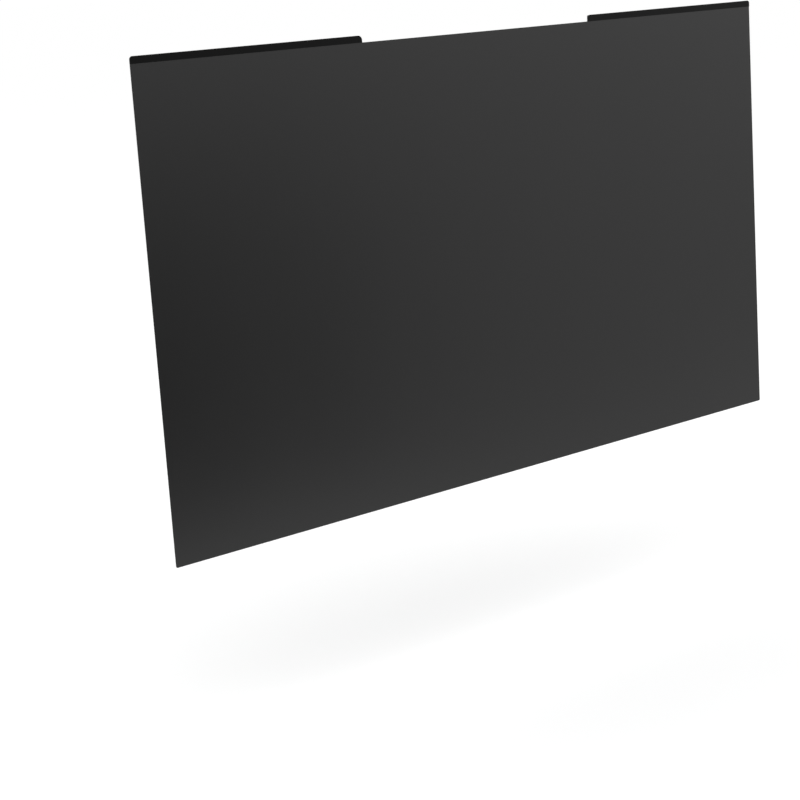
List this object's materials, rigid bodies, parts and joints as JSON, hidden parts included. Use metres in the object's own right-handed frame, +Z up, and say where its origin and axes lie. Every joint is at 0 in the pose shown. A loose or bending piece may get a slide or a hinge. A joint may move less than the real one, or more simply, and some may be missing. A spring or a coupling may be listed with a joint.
{
  "type": "monitor privacy filter",
  "caption": "Dark louvred film for a widescreen desktop display, with black strips and magnet bars on its top edge that hang it from the bezel.",
  "frame": {"origin": "midway between the magnet bars, on the plane of their rear faces, at the middle of their height: the point where the filter hangs on a display's top bezel", "axes": "+X along the width to the viewer's right, +Y from the viewer towards the display, +Z up; the face that the viewer sees looks along -Y"},
  "size_m": [0.543, 0.0019, 0.3044],
  "materials": {
    "louvre_film": "satin",
    "face_strip": "satin",
    "magnet": "matte",
    "bond_tape": "satin"
  },
  "bodies": {
    "root": {"filter_film": "louvre_film", "left_face_strip": "face_strip", "right_face_strip": "face_strip", "left_magnet_bar": "magnet", "right_magnet_bar": "magnet", "left_bond_tape": "bond_tape", "right_bond_tape": "bond_tape"}
  },
  "joints": []
}
